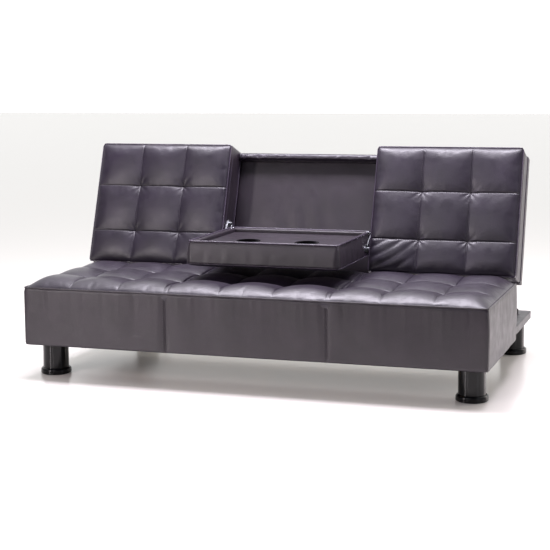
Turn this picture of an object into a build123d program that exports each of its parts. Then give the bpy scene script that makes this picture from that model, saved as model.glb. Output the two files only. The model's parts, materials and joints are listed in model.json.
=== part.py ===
from build123d import *
import math
import os

# A click-clack futon sofa bed: a floor base, a lifting seat, a reclining back
# and a middle tray that folds down out of the back.  Millimetres, +X to the
# sitter's left as seen from the front, -Y towards the front, +Z up from the floor.

os.makedirs("parts", exist_ok=True)

# Overall
half_width = 900
depth = 1100
section_x = 314

# Heights of the base and the seat box
frame_bottom = 126
rail_top = 160
board_bottom = 165
board_top = 272
cushion_bottom = 278
apron_top = 345
seat_top = 374
seat_depth = 600

# Base
rail_inner = 764
rail_outer = 884
rail_start = 40
leg_x = 824
leg_rows = (106, 986)
leg_radius = 50

# Recline hinge, seen from the end of the sofa: flat steel leaves side by side
leaf = 4
seat_arm_x = 840
bracket_x = 846
back_arm_x = 852
pin_radius = 6
running_gap = 0.05

# Back: leans away from upright, measured up the face (s) and rearwards (t)
lean = 19
back_foot_y = 560.5
back_foot_z = 379
back_low = 4
back_high = 517
cushion_thick = 138
backing_thick = 18
back_thick = 196
cover_wall = 4
recess_x = 316
recess_high = 480

# Tray, open over the seat
tray_half = 300
tray_front = 211
tray_rear = 691
tray_bottom = 428
tray_top = 524
tray_pivot_y = 624
tray_pivot_z = 461
cup_x = 120
cup_y = 395
cup_bore = 38
cup_depth = 50


def y_at(distance):
    """The y of a point this far behind the front face."""
    return distance - depth / 2


def back_yz(s, t):
    """The y and z of a point s up the back's face and t behind it."""
    up = math.radians(lean)
    y = back_foot_y + s * math.sin(up) + t * math.cos(up)
    z = back_foot_z + s * math.cos(up) - t * math.sin(up)
    return y_at(y), z


def back_plane(t):
    """A sketch plane t behind the back's face: its x is X, its y runs up the face."""
    y, z = back_yz(0, t)
    up = math.radians(lean)
    return Plane(origin=(0, y, z), x_dir=(1, 0, 0), z_dir=(0, -math.cos(up), math.sin(up)))


recline_yz = back_yz(-32, 42)
tray_yz = (y_at(tray_pivot_y), tray_pivot_z)


def write(piece, label):
    """Label a finished piece and write its own STEP file."""
    piece.part.label = label
    export_step(piece.part, f"parts/{label}.step")


def upright_box(x_low, x_high, from_front, to_front, z_low, z_high):
    """Add a box, given by its limits, to the piece being built."""
    with BuildSketch(Plane.XY.offset(z_low)) as outline:
        with Locations(((x_low + x_high) / 2, y_at((from_front + to_front) / 2))):
            Rectangle(x_high - x_low, to_front - from_front)
    extrude(outline.sketch, amount=z_high - z_low)


def back_box(x_low, x_high, s_low, s_high, t_low, t_high):
    """Add a box that leans with the back, given by its limits, to the piece being built."""
    with BuildSketch(back_plane(t_low)) as outline:
        with Locations(((x_low + x_high) / 2, (s_low + s_high) / 2)):
            Rectangle(x_high - x_low, s_high - s_low)
    extrude(outline.sketch, amount=t_low - t_high)


def leaf_link(x_low, thick, first, second):
    """Add a flat steel link, round at both ends: each end is (y, z, radius)."""
    with BuildSketch(Plane.YZ.offset(x_low)) as outline:
        for y, z, radius in (first, second):
            with Locations((y, z)):
                Circle(radius)
        make_hull()
    extrude(outline.sketch, amount=thick)


def leaf_hole(x_low, thick, y, z, radius):
    """Cut a round hole through a leaf."""
    with BuildSketch(Plane.YZ.offset(x_low)) as outline:
        with Locations((y, z)):
            Circle(radius)
    extrude(outline.sketch, amount=thick, mode=Mode.SUBTRACT)


def cross_pin(y, z, runs):
    """Add a turned pin along X: runs holds its (start x, end x, radius) from one end."""
    for start, end, radius in runs:
        with BuildSketch(Plane.YZ.offset(start)) as outline:
            with Locations((y, z)):
                Circle(radius)
        extrude(outline.sketch, amount=end - start)


def low_high(side, low, high):
    """The X limits of something on one side: side is -1 for left, +1 for right."""
    return (low, high) if side > 0 else (-high, -low)


sides = (("left", -1), ("right", 1))


# ---------------------------------------------------------------- base

leg_hole = 5.3
screw_radius = 2.5
screw_gap = 0.2
bracket_screw_x = 802
bracket_screw_rows = (546, 590, 634)


def side_rails():
    """Wrapped timber rails that carry everything and run out behind the back."""
    for word, side in sides:
        x_low, x_high = low_high(side, rail_inner, rail_outer)
        with BuildPart() as rail:
            upright_box(x_low, x_high, rail_start, depth, frame_bottom, rail_top)
            fillet(rail.edges().filter_by(Axis.Y), radius=5)
            with BuildSketch(Plane.XY.offset(frame_bottom)):
                with Locations(*[(side * leg_x, y_at(row)) for row in leg_rows]):
                    Circle(leg_hole)
            extrude(amount=28, mode=Mode.SUBTRACT)
        write(rail, f"side_rail_{word}")


def cross_beams():
    """Three timbers that tie the side rails together."""
    for word, row in (("front", 106), ("middle", 580), ("rear", 986)):
        with BuildPart() as beam:
            upright_box(-rail_inner, rail_inner, row - 20, row + 20, frame_bottom, rail_top)
        write(beam, f"{word}_cross_beam")


def leg_tubes():
    """Steel tube legs, closed by a plate at the top that bears on the rail."""
    for end, row in (("front", leg_rows[0]), ("rear", leg_rows[1])):
        for word, side in sides:
            with BuildPart() as leg:
                with BuildSketch(Plane.XY.offset(8)):
                    with Locations((side * leg_x, y_at(row))):
                        Circle(leg_radius)
                        Circle(leg_radius - 2.5, mode=Mode.SUBTRACT)
                extrude(amount=112)
                with BuildSketch(Plane.XY.offset(120)):
                    with Locations((side * leg_x, y_at(row))):
                        Circle(leg_radius + 4)
                        Circle(leg_hole, mode=Mode.SUBTRACT)
                extrude(amount=frame_bottom - 120)
            write(leg, f"leg_{end}_{word}")


def foot_centres():
    """The four leg centres."""
    return [(side * leg_x, y_at(row)) for row in leg_rows for side in (-1, 1)]


def leg_feet():
    """Flared foot rings under the tubes."""
    with BuildPart() as feet:
        for x, y in foot_centres():
            with BuildSketch(Plane((x, y, 0), x_dir=(1, 0, 0), z_dir=(0, -1, 0))):
                with BuildLine():
                    Polyline((0, 2), (58, 2), (59, 4), (59, 14))
                    RadiusArc((59, 14), (53, 24), -9)
                    Polyline((53, 24), (50.4, 24), (50.4, 8), (0, 8), (0, 2))
                make_face()
            revolve(axis=Axis((x, y, 0), (0, 0, 1)))
    write(feet, "leg_feet")


def leg_glides():
    """Felt discs under the feet."""
    with BuildPart() as glides:
        with BuildSketch(Plane.XY):
            with Locations(*foot_centres()):
                Circle(54)
        extrude(amount=2)
    write(glides, "leg_glides")


def leg_bolts():
    """A bolt through each top plate into the rail, with its nut inside the tube."""
    with BuildPart() as bolts:
        with BuildSketch(Plane.XY.offset(106)):
            with Locations(*foot_centres()):
                Circle(5)
        extrude(amount=46)
        with BuildSketch(Plane.XY.offset(111)):
            with Locations(*foot_centres()):
                RegularPolygon(9, 6)
        extrude(amount=9)
    write(bolts, "leg_bolts")


def recline_brackets():
    """Angle brackets on the rails that hold the recline pins."""
    y, z = recline_yz
    for word, side in sides:
        x_low, x_high = low_high(side, bracket_x, bracket_x + leaf)
        flange_low, flange_high = low_high(side, bracket_x - 56, bracket_x)
        with BuildPart() as bracket:
            leaf_link(x_low, leaf, (y, z, 22), (y, rail_top + 32, 30))
            upright_box(x_low, x_high, 530, 650, rail_top, rail_top + 15)
            upright_box(flange_low, flange_high, 530, 650, rail_top, rail_top + leaf)
            leaf_hole(x_low, leaf, y, z, pin_radius + running_gap)
            with BuildSketch(Plane.XY.offset(rail_top)):
                with Locations(*[(side * bracket_screw_x, y_at(row)) for row in bracket_screw_rows]):
                    Circle(screw_radius + screw_gap)
            extrude(amount=leaf, mode=Mode.SUBTRACT)
        write(bracket, f"recline_bracket_{word}")


def bracket_screws():
    """Screws through the bracket flanges into the rails."""
    spots = [(side * bracket_screw_x, y_at(row)) for side in (-1, 1) for row in bracket_screw_rows]
    with BuildPart() as screws:
        with BuildSketch(Plane.XY.offset(rail_top - 20)):
            with Locations(*spots):
                Circle(screw_radius)
        extrude(amount=20 + leaf)
        with BuildSketch(Plane.XY.offset(rail_top + leaf)):
            with Locations(*spots):
                Circle(4.5)
        extrude(amount=0.4)
    write(screws, "bracket_screws")


def recline_pins():
    """Pins that the seat arm and the back arm turn on."""
    y, z = recline_yz
    with BuildPart() as pins:
        for side in (-1, 1):
            runs = [(834, 839.7, 10), (839.7, 856.3, pin_radius), (856.3, 861, 11)]
            if side < 0:
                runs = [(-end, -start, radius) for start, end, radius in reversed(runs)]
            cross_pin(y, z, runs)
    write(pins, "recline_pins")


def rest_buffers():
    """Rubber buffers on the rails: low ones for the seat, tall ones for the flat back."""
    with BuildPart() as buffers:
        with BuildSketch(Plane.XY.offset(rail_top)):
            with Locations(*[(side * 823, y_at(190)) for side in (-1, 1)]):
                Circle(12)
        extrude(amount=4.5)
        with BuildSketch(Plane.XY.offset(rail_top)):
            with Locations(*[(side * 830, y_at(1010)) for side in (-1, 1)]):
                Circle(16)
        extrude(amount=20)
    write(buffers, "rest_buffers")


# ---------------------------------------------------------------- seat

board = 34
board_outer = 840
seat_screw_rows = (440, 495, 560)
seat_screw_z = 212


def seat_boards():
    """The timber frame of the seat."""
    with BuildPart() as front_board:
        upright_box(-887, 887, 18, 48, board_bottom, board_top)
    write(front_board, "seat_front_board")
    inner = board_outer - board
    with BuildPart() as rear_board:
        upright_box(-inner, inner, 550, 580, board_bottom, board_top)
    write(rear_board, "seat_rear_board")
    with BuildPart() as side_boards:
        for side in (-1, 1):
            upright_box(*low_high(side, inner, board_outer), 48, 580, board_bottom, board_top)
    write(side_boards, "seat_side_boards")
    with BuildPart() as centre_boards:
        for side in (-1, 1):
            upright_box(*low_high(side, 300, 328), 48, 550, board_bottom, board_top)
    write(centre_boards, "seat_centre_boards")
    with BuildPart() as outriggers:
        for side in (-1, 1):
            upright_box(*low_high(side, board_outer, 887), 360, 410, board_bottom, board_top)
    write(outriggers, "seat_outriggers")


def seat_springs():
    """Zigzag wire springs from the front board to the rear board."""
    wire = 2
    height = board_top + wire + 0.3
    swing = 22
    pitch = 26
    turns = 19
    start = y_at(42)
    points = [(0, start)]
    for turn in range(turns):
        points.append((swing if turn % 2 else -swing, start + pitch * (turn + 0.5)))
    points.append((0, start + pitch * turns))
    with BuildPart() as one_spring:
        with BuildLine(Plane.XY.offset(height)) as path:
            FilletPolyline(*points, radius=9)
        with BuildSketch(Plane(origin=path.line @ 0, z_dir=path.line % 0)):
            Circle(wire)
        sweep()
    with BuildPart() as springs:
        for x in (75, 225, 400, 520, 640, 760):
            with Locations((x, 0, 0), (-x, 0, 0)):
                add(one_spring.part)
    write(springs, "seat_springs")


def seat_sheets():
    """A felt deck over the springs and a thin dust cover under the frame."""
    with BuildPart() as deck:
        upright_box(-822, 822, 20, 582, cushion_bottom - 1.2, cushion_bottom)
    write(deck, "seat_deck")
    with BuildPart() as dust_cover:
        upright_box(-780, 780, 20, 579, board_bottom - 1.2, board_bottom)
    write(dust_cover, "seat_dust_cover")


def seat_cushions():
    """Foam blocks that drop inside the aprons and roll over their top edges."""
    spans = (("left", -half_width, -section_x), ("middle", -section_x, section_x),
             ("right", section_x, half_width))
    for word, x_low, x_high in spans:
        inner_low = max(x_low, -887)
        inner_high = min(x_high, 887)
        with BuildPart() as cushion:
            upright_box(x_low, x_high, 0, seat_depth, apron_top, seat_top)
            fillet(cushion.edges().filter_by(Axis.X).group_by(Axis.Z)[-1].sort_by(Axis.Y)[0], radius=26)
            fillet(cushion.edges().filter_by(Axis.X).group_by(Axis.Z)[-1].sort_by(Axis.Y)[-1], radius=28)
            upright_box(inner_low, inner_high, 18, seat_depth, cushion_bottom, apron_top)
            if word != "middle":
                side = 1 if word == "right" else -1
                with BuildSketch(Plane.XY.offset(cushion_bottom)):
                    with Locations((side * 856.5, y_at(573))):
                        Rectangle(61, 60)
                extrude(amount=84, mode=Mode.SUBTRACT)
        write(cushion, f"seat_cushion_{word}")


def seat_skirts():
    """The plain front apron and the two side panels."""
    with BuildPart() as apron:
        upright_box(-half_width, half_width, 0, 18, frame_bottom, apron_top)
        fillet(apron.edges().filter_by(Axis.Z).group_by(Axis.Y)[0], radius=6)
    write(apron, "front_apron")
    for word, side in sides:
        with BuildPart() as panel:
            upright_box(*low_high(side, 887, half_width), 18, seat_depth, frame_bottom, apron_top)
        write(panel, f"seat_side_panel_{word}")


def seat_arms():
    """Bent steel arms that hang the seat frame on the recline pins."""
    y, z = recline_yz
    for word, side in sides:
        x_low, _ = low_high(side, seat_arm_x, seat_arm_x + leaf)
        corner = (y_at(572), 205, 20)
        with BuildPart() as arm:
            leaf_link(x_low, leaf, (y, z, 20), corner)
            leaf_link(x_low, leaf, corner, (y_at(440), 215, 16))
            leaf_hole(x_low, leaf, y, z, pin_radius + running_gap)
            for row in seat_screw_rows:
                leaf_hole(x_low, leaf, y_at(row), seat_screw_z, screw_radius + screw_gap)
        write(arm, f"seat_arm_{word}")


def seat_arm_screws():
    """Round-headed screws through the seat arms into the side boards."""
    with BuildPart() as screws:
        for side in (-1, 1):
            for row in seat_screw_rows:
                x_low, x_high = low_high(side, 818, seat_arm_x + leaf)
                head_low, head_high = low_high(side, seat_arm_x + leaf, seat_arm_x + leaf + 1.5)
                cross_pin(y_at(row), seat_screw_z, [(x_low, x_high, screw_radius),
                                                    (head_low, head_high, 5.5)])
    write(screws, "seat_arm_screws")


# ---------------------------------------------------------------- backrest

frame_front = cushion_thick + backing_thick
frame_rear = back_thick - cover_wall
side_front = 16
side_thick = 18
arm_t = 174
back_screw_rows = (80, 140, 200)


def back_cushions():
    """Foam blocks of the back, rebated for the boards at the sides of the recess."""
    for word, side in sides:
        with BuildPart() as cushion:
            back_box(*low_high(side, recess_x, half_width), back_low, back_high, 0, cushion_thick)
            face = cushion.faces().sort_by(Axis.Y)[0]
            fillet(face.edges(), radius=10)
            x_low, x_high = low_high(side, recess_x, recess_x + side_thick)
            with BuildSketch(back_plane(side_front)):
                with Locations(((x_low + x_high) / 2, (back_low + back_high) / 2)):
                    Rectangle(side_thick, back_high - back_low)
            extrude(amount=side_front - cushion_thick, mode=Mode.SUBTRACT)
        write(cushion, f"back_cushion_{word}")


def recess_sides():
    """Boards that line the recess beside the tray."""
    for word, side in sides:
        x_low, x_high = low_high(side, recess_x, recess_x + side_thick)
        with BuildPart() as lining:
            back_box(x_low, x_high, back_low, back_high, side_front, cushion_thick)
        write(lining, f"recess_side_{word}")


def back_boards():
    """Plywood behind the cushions and the timber frame behind that."""
    with BuildPart() as backing:
        for side in (-1, 1):
            back_box(*low_high(side, recess_x, half_width), back_low, back_high,
                     cushion_thick, frame_front)
    write(backing, "backing_panels")
    with BuildPart() as cross_boards:
        back_box(-back_arm_x, back_arm_x, 461, back_high - cover_wall, frame_front, frame_rear)
        back_box(-back_arm_x, back_arm_x, 8, 60, frame_front, frame_rear)
    write(cross_boards, "back_cross_boards")
    with BuildPart() as side_boards:
        for side in (-1, 1):
            back_box(*low_high(side, 810, back_arm_x), 60, 461, frame_front, frame_rear)
    write(side_boards, "back_side_boards")


def recess_lining():
    """The wrapped wall behind the tray and the padded roll along its top."""
    with BuildPart() as wall:
        back_box(-recess_x, recess_x, 8, recess_high, frame_front - 6, frame_front)
    write(wall, "recess_wall")
    with BuildPart() as roll:
        back_box(-recess_x, recess_x, recess_high, back_high - cover_wall, 100, frame_front)
        fillet(roll.edges().filter_by(Axis.X).sort_by(Axis.Y)[:2], radius=14)
    write(roll, "recess_top_roll")


def rear_cover():
    """The cover stretched over the back of the frame and round its ends and top."""
    inner = half_width - cover_wall
    with BuildPart() as cover:
        back_box(-half_width, half_width, back_low, back_high, frame_front, back_thick)
        fillet(cover.faces().sort_by(Axis.Y)[-1].edges().group_by(Axis.Z)[-1], radius=3.5)
        with BuildSketch(back_plane(frame_front)):
            with Locations((0, (back_low + back_high - cover_wall) / 2)):
                Rectangle(2 * inner, back_high - cover_wall - back_low)
        extrude(amount=frame_front - frame_rear, mode=Mode.SUBTRACT)
    write(cover, "rear_cover")


def back_arms():
    """Cranked steel arms from the recline pins to the back's side boards."""
    y, z = recline_yz
    elbow = (*back_yz(-32, arm_t), 16)
    top = (*back_yz(200, arm_t), 16)
    for word, side in sides:
        x_low, _ = low_high(side, back_arm_x, back_arm_x + leaf)
        with BuildPart() as arm:
            leaf_link(x_low, leaf, (y, z, 20), elbow)
            leaf_link(x_low, leaf, elbow, top)
            leaf_hole(x_low, leaf, y, z, pin_radius + running_gap)
            for s in back_screw_rows:
                leaf_hole(x_low, leaf, *back_yz(s, arm_t), screw_radius + screw_gap)
        write(arm, f"back_arm_{word}")


def back_arm_screws():
    """Round-headed screws through the back arms into the side boards."""
    with BuildPart() as screws:
        for side in (-1, 1):
            for s in back_screw_rows:
                y, z = back_yz(s, arm_t)
                x_low, x_high = low_high(side, 830, back_arm_x + leaf)
                head_low, head_high = low_high(side, back_arm_x + leaf, back_arm_x + leaf + 2.5)
                cross_pin(y, z, [(x_low, x_high, screw_radius), (head_low, head_high, 5.5)])
    write(screws, "back_arm_screws")


plate_x = 313
stop_yz = (y_at(700), 540)


def tray_pivot_plates():
    """Steel plates on the recess sides, each with a welded stop stud."""
    y, z = tray_yz
    for word, side in sides:
        x_low, _ = low_high(side, plate_x, recess_x)
        stud_low, stud_high = low_high(side, tray_half + 0.6, plate_x)
        with BuildPart() as plate:
            leaf_link(x_low, recess_x - plate_x, (y, z, 16), (*stop_yz, 14))
            cross_pin(*stop_yz, [(stud_low, stud_high, 5)])
            leaf_hole(x_low, recess_x - plate_x, y, z, 4 + running_gap)
        write(plate, f"tray_pivot_plate_{word}")


def tray_pivot_pins():
    """Shouldered pins that the tray arms turn on."""
    with BuildPart() as pins:
        for side in (-1, 1):
            runs = [(tray_half + 0.3, 303.4, 4), (303.4, plate_x, 8), (plate_x, recess_x, 4)]
            if side < 0:
                runs = [(-end, -start, radius) for start, end, radius in reversed(runs)]
            cross_pin(*tray_yz, runs)
    write(pins, "tray_pivot_pins")


# ---------------------------------------------------------------- tray

tray_wall = 24
tray_pad = 22
tray_floor_thick = 4
panel_top = 508
panel_thick = 6
cup_wall = 2


def tray_pad_and_floor():
    """The tufted pad, which faces down while the tray is open, and its plywood."""
    with BuildPart() as pad:
        upright_box(-tray_half, tray_half, tray_front, tray_rear, tray_bottom, tray_bottom + tray_pad)
        fillet(pad.faces().sort_by(Axis.Z)[0].edges(), radius=10)
    write(pad, "tray_cushion")
    floor_low = tray_bottom + tray_pad
    with BuildPart() as floor:
        upright_box(-tray_half, tray_half, tray_front, tray_rear, floor_low, floor_low + tray_floor_thick)
    write(floor, "tray_floor")


def tray_boards():
    """The four boards of the tray's box."""
    low = tray_bottom + tray_pad + tray_floor_thick
    inner = tray_half - tray_wall
    with BuildPart() as boards:
        upright_box(-tray_half, tray_half, tray_front, tray_front + tray_wall, low, tray_top)
        upright_box(-tray_half, tray_half, tray_rear - tray_wall, tray_rear, low, tray_top)
    with BuildPart() as side_pieces:
        for side in (-1, 1):
            upright_box(*low_high(side, inner, tray_half), tray_front + tray_wall,
                        tray_rear - tray_wall, low, tray_top)
    write(boards, "tray_end_boards")
    write(side_pieces, "tray_side_boards")


def tray_panel():
    """The wrapped top panel with two round cut-outs."""
    inner = tray_half - tray_wall
    with BuildPart() as panel:
        upright_box(-inner, inner, tray_front + tray_wall, tray_rear - tray_wall,
                    panel_top - panel_thick, panel_top)
        with BuildSketch(Plane.XY.offset(panel_top - panel_thick)):
            with Locations((-cup_x, y_at(cup_y)), (cup_x, y_at(cup_y))):
                Circle(cup_bore + cup_wall + 0.5)
        extrude(amount=panel_thick, mode=Mode.SUBTRACT)
    write(panel, "tray_top_panel")


def cup_holders():
    """Moulded cups that drop into the panel and hang on their rims."""
    rim_top = panel_top + 2.5
    outer = cup_bore + cup_wall
    for word, side in sides:
        centre = (side * cup_x, y_at(cup_y), 0)
        with BuildPart() as cup:
            with BuildSketch(Plane(centre, x_dir=(1, 0, 0), z_dir=(0, -1, 0))):
                with BuildLine():
                    Polyline((0, rim_top - cup_depth - 1.5), (outer, rim_top - cup_depth - 1.5),
                             (outer, panel_top), (outer + 8, panel_top),
                             (outer + 6.5, rim_top), (cup_bore, rim_top),
                             (cup_bore, rim_top - cup_depth), (0, rim_top - cup_depth),
                             close=True)
                make_face()
            revolve(axis=Axis(centre, (0, 0, 1)))
        write(cup, f"cup_holder_{word}")


tray_screw_yz = ((y_at(545), 478), (y_at(580), 471), (y_at(683), 511))


def tray_arms():
    """Steel arms on the tray's sides: they turn on the pivot pins, and their tails meet the stops."""
    y, z = tray_yz
    for word, side in sides:
        x_low, _ = low_high(side, tray_half, tray_half + 3)
        with BuildPart() as arm:
            leaf_link(x_low, 3, (y_at(545), 478, 12), (y, z, 14))
            leaf_link(x_low, 3, (y, z, 14), (y_at(700), 526.7, 8))
            leaf_hole(x_low, 3, y, z, 4 + running_gap)
            for screw_y, screw_z in tray_screw_yz:
                leaf_hole(x_low, 3, screw_y, screw_z, 2 + screw_gap)
        write(arm, f"tray_arm_{word}")


def tray_arm_screws():
    """Bright round-headed screws that hold the arms to the tray's sides."""
    with BuildPart() as screws:
        for side in (-1, 1):
            for y, z in tray_screw_yz:
                x_low, x_high = low_high(side, 286, 303)
                head_low, head_high = low_high(side, 303, 305)
                cross_pin(y, z, [(x_low, x_high, 2), (head_low, head_high, 4.5)])
    write(screws, "tray_arm_screws")


side_rails()
cross_beams()
leg_tubes()
leg_feet()
leg_glides()
leg_bolts()
recline_brackets()
bracket_screws()
recline_pins()
rest_buffers()
seat_boards()
seat_springs()
seat_sheets()
seat_cushions()
seat_skirts()
seat_arms()
seat_arm_screws()
back_cushions()
recess_sides()
back_boards()
recess_lining()
rear_cover()
back_arms()
back_arm_screws()
tray_pivot_plates()
tray_pivot_pins()
tray_pad_and_floor()
tray_boards()
tray_panel()
cup_holders()
tray_arms()
tray_arm_screws()
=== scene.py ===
import json
import math

import bpy
import numpy as np
from mathutils import Matrix, Vector
from mathutils.bvhtree import BVHTree


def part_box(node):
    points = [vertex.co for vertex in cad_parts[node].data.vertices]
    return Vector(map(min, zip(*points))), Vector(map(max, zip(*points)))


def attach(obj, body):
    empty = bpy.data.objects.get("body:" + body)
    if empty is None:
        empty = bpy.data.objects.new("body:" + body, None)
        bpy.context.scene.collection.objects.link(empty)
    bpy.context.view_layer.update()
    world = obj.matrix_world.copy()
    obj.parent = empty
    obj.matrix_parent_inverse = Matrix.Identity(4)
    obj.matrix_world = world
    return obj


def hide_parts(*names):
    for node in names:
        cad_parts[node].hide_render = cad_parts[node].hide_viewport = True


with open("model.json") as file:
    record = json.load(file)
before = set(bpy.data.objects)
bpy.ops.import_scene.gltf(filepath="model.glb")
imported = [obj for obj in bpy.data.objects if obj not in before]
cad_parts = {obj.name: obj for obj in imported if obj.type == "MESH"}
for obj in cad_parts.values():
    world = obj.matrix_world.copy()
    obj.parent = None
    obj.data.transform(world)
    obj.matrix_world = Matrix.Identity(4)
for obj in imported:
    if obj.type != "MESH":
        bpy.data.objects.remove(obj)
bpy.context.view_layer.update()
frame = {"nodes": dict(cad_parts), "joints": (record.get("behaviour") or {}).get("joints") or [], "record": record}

MM = 0.001


# ---------------------------------------------------------------- leatherette
# The whole sofa is covered in PU leatherette: polyurethane rolled onto knitted backing
# with an embossed pebble grain.  It is brown-black with a plum cast and a soft shine.

def linear(hex_colour):
    """An sRGB hex colour as a linear RGBA tuple: each channel goes through the sRGB curve."""
    channels = [int(hex_colour[i:i + 2], 16) / 255 for i in (1, 3, 5)]
    curve = [c / 12.92 if c <= 0.04045 else ((c + 0.055) / 1.055) ** 2.4 for c in channels]
    return (*curve, 1.0)


def add_node(tree, kind, settings=None, links=None):
    """Add a shader node, set its properties and inputs, and link (input, other node, output).
    The stops of a colour ramp are pairs of a position and a hex colour."""
    node = tree.nodes.new("ShaderNode" + kind)
    for key, value in (settings or {}).items():
        if key == "stops":
            while len(node.color_ramp.elements) < len(value):
                node.color_ramp.elements.new(0.5)
            for element, (position, colour) in zip(node.color_ramp.elements, value):
                element.position = position
                element.color = linear(colour)
        elif isinstance(key, str) and hasattr(node, key):
            setattr(node, key, value)
        else:
            node.inputs[key].default_value = value
    for socket, source, output in links or ():
        tree.links.new(source.outputs[output], node.inputs[socket])
    return node


def new_material(name):
    """A node material and its tree, emptied."""
    material = bpy.data.materials.new(name)
    material.use_nodes = True
    tree = material.node_tree
    tree.nodes.clear()
    return material, tree


def finished(material, settings, links=None):
    """The material with its surface shader, set and linked, on its output."""
    skin = add_node(material.node_tree, "BsdfPrincipled", settings, links)
    add_node(material.node_tree, "OutputMaterial", None, [("Surface", skin, "BSDF")])
    return material


def leatherette(name, dark, light, grain_mm, crease, shine):
    """PU leatherette, embossed.  Pebbles grain_mm across, a finer tooth on them, slow creases."""
    material, tree = new_material(name)
    coords = add_node(tree, "TexCoord")
    cloud = add_node(tree, "TexNoise", {"Scale": 9.0, "Detail": 4.0, "Roughness": 0.6},
                     [("Vector", coords, "Object")])
    colour = add_node(tree, "ValToRGB", {"stops": [(0.3, dark), (0.7, light)]}, [("Fac", cloud, "Fac")])
    pebble = add_node(tree, "TexVoronoi", {"feature": "SMOOTH_F1", "Scale": 1000 / grain_mm,
                                                     "Smoothness": 0.35, "Randomness": 0.9},
                      [("Vector", coords, "Object")])
    tooth = add_node(tree, "TexNoise", {"Scale": 3000 / grain_mm, "Detail": 2.0},
                     [("Vector", coords, "Object")])
    folds = add_node(tree, "TexNoise", {"Scale": 42.0, "Detail": 5.0, "Roughness": 0.55,
                                                  "Distortion": 1.2}, [("Vector", coords, "Object")])
    fold_bump = add_node(tree, "Bump", {"Strength": crease, "Distance": 0.0022},
                         [("Height", folds, "Fac")])
    pebble_bump = add_node(tree, "Bump", {"Strength": 0.34, "Distance": 0.00045},
                           [("Height", pebble, "Distance"), ("Normal", fold_bump, "Normal")])
    tooth_bump = add_node(tree, "Bump", {"Strength": 0.12, "Distance": 0.0002},
                          [("Height", tooth, "Fac"), ("Normal", pebble_bump, "Normal")])
    wear = add_node(tree, "TexNoise", {"Scale": 23.0, "Detail": 3.0},
                    [("Vector", coords, "Object")])
    rough = add_node(tree, "MapRange", {"From Min": 0.3, "From Max": 0.7,
                                                  "To Min": shine - 0.05, "To Max": shine + 0.07},
                     [("Value", wear, "Fac")])
    return finished(material, {"IOR": 1.5, "Specular IOR Level": 0.5, "Sheen Weight": 0.04,
                               "Sheen Roughness": 0.45, "Sheen Tint": linear("#b9a3bb"),
                               "Coat Weight": 0.12, "Coat Roughness": 0.28},
                    [("Base Color", colour, "Color"), ("Roughness", rough, "Result"),
                     ("Normal", tooth_bump, "Normal")])


# The pebbles are about 1 mm on the real thing.  They are drawn 2.6 mm so that they show.
soft_leather = leatherette("pu_leatherette_padded", "#18131d", "#241d2a", 2.6, 0.24, 0.42)
flat_leather = leatherette("pu_leatherette_on_board", "#19131a", "#251d26", 2.6, 0.15, 0.44)
# The welts are the same leatherette drawn lighter. The lighter colour is a painted highlight for the light caught
# along the piping.
welt_leather_painted_highlight = leatherette("pu_leatherette_welt_painted_highlight", "#332d38", "#463e4c", 2.6, 0.05, 0.22)


def finish_piece(piece, body, slot, material, *nodes):
    """Give a finished piece its material, its body and the nodes it stands for.  The slot is not used."""
    piece.data.materials.clear()
    piece.data.materials.append(material)
    piece.data.polygons.foreach_set("use_smooth", np.ones(len(piece.data.polygons), dtype=bool))
    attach(piece, body)
    if nodes:
        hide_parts(*nodes)
    return piece


def mesh_piece(name, points, faces):
    """A mesh object at the origin from points in metres and faces, as arrays or as lists."""
    mesh = bpy.data.meshes.new(name)
    mesh.from_pydata(np.asarray(points, float).tolist(), [], [list(map(int, face)) for face in faces])
    mesh.update()
    piece = bpy.data.objects.new(name, mesh)
    bpy.context.scene.collection.objects.link(piece)
    return piece


def coordinates(mesh):
    """The points of a mesh as an array."""
    points = np.empty(len(mesh.vertices) * 3)
    mesh.vertices.foreach_get("co", points)
    return points.reshape(-1, 3)


def set_coordinates(mesh, points):
    """Write an array of points into a mesh."""
    mesh.vertices.foreach_set("co", np.ascontiguousarray(points).ravel())
    mesh.update()


# ---------------------------------------------------------------- padded blocks
# Every cushion is a foam block in a sewn cover.  The cover's panels swell between their
# sewn lines, and the lines are pulled hardest into the foam where two of them cross.

def line_distance(position, lines):
    """How far each position is from its nearest line; far off when there are no lines."""
    if not len(lines):
        return np.full(np.shape(position), 1e6)
    return np.min(np.abs(position[:, None] - np.array(lines)[None, :]), axis=1)


def graded(low, high, step, lines, fine=3.0, reach=9.0):
    """Positions from low to high a step apart, but fine apart within the reach of each line."""
    even = np.linspace(low, high, int(round((high - low) / step)) + 1)
    even = even[line_distance(even, lines) > reach]
    near = [line + np.arange(-reach, reach + 0.1, fine) for line in lines]
    spots = np.unique(np.round(np.concatenate([even, *near]), 3))
    return np.concatenate([[low], spots[(spots > low + 0.5) & (spots < high - 0.5)], [high]])


def grid_faces(grid):
    """The quads between neighbours in a grid of point numbers, in its own turning sense; the
    transposed grid gives the other sense."""
    return np.stack([grid[:-1, :-1], grid[1:, :-1], grid[1:, 1:], grid[:-1, 1:]], -1).reshape(-1, 4)


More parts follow.
